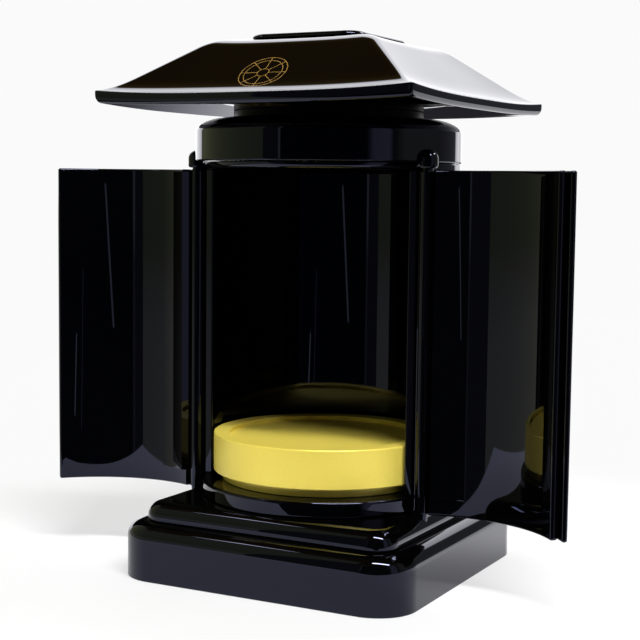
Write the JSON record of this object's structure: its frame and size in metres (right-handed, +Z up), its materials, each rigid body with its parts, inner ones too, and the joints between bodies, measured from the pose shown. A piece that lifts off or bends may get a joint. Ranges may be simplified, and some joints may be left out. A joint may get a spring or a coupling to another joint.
{
  "type": "buddhist home altar",
  "caption": "Round lacquered household altar on a stepped square base, with curved double doors, a gold stand inside and a curved square roof.",
  "frame": {"origin": "centre of the base's underside", "axes": "+Z up, front with the doorway towards -Y, +X to the viewer's right"},
  "size_m": [0.2888, 0.1716, 0.2753],
  "materials": {
    "black_lacquer": "polished black lacquer on wood",
    "gold_paint": "satin gold lacquer on turned wood"
  },
  "bodies": {
    "cabinet": {"base_plinth": "black_lacquer", "base_upper_tier": "black_lacquer", "floor_plate": "black_lacquer", "rear_shell": "black_lacquer", "left_jamb": "black_lacquer", "right_jamb": "black_lacquer", "ceiling_plate": "black_lacquer", "cap_drum": "black_lacquer", "left_hinge_boss": "black_lacquer", "right_hinge_boss": "black_lacquer", "neck": "black_lacquer", "roof": "black_lacquer", "roof_top_slab": "black_lacquer", "gold_stand": "gold_paint"},
    "left_leaf": {"door_left": "black_lacquer"},
    "right_leaf": {"door_right": "black_lacquer", "meeting_strip": "black_lacquer"}
  },
  "joints": [
    {"name": "left_door_hinge", "type": "hinge", "parent": "cabinet", "child": "left_leaf", "pos_m": [-0.06581, -0.02202, 0.12], "axis": [0, 0, 1], "range_deg": [-25, 128.5]},
    {"name": "right_door_hinge", "type": "hinge", "parent": "cabinet", "child": "right_leaf", "pos_m": [0.06581, -0.02202, 0.12], "axis": [0, 0, -1], "range_deg": [-25, 129.4]}
  ]
}
